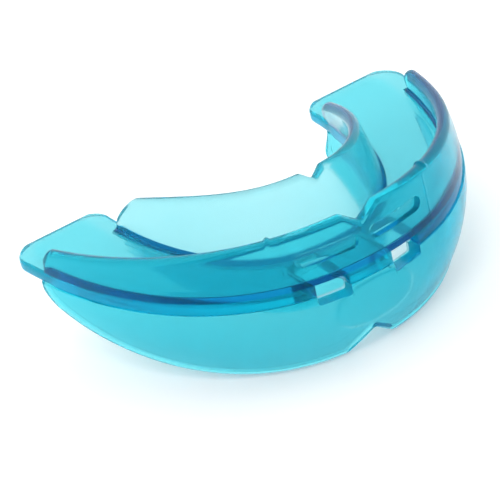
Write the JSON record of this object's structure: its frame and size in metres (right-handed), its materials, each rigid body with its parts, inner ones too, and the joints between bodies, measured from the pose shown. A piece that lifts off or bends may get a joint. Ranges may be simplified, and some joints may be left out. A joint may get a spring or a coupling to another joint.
{
  "type": "double mouthguard",
  "caption": "Double mouthguard: a U-shaped bite plate carries outer and inner walls above and below it, with tooth channels, breathing windows and rim notches.",
  "frame": {"origin": "on the midline and on the bite plate's upper face, at the place where the front teeth bite, 4.5 mm behind the plate's front edge", "axes": "+Z away from the bite plate towards the upper jaw, -Y out of the front of the mouth, +X across; X = 0 is the plane of symmetry"},
  "size_m": [0.0646, 0.0436, 0.0253],
  "materials": {
    "plate": "firm translucent blue core, satin",
    "outer_wall": "soft translucent cyan, satin",
    "inner_wall": "soft translucent pale cyan, satin"
  },
  "bodies": {
    "root": {"bite_plate": "plate", "upper_outer_wall": "outer_wall", "upper_inner_wall": "inner_wall", "lower_outer_wall": "outer_wall", "lower_inner_wall": "inner_wall"}
  },
  "joints": []
}
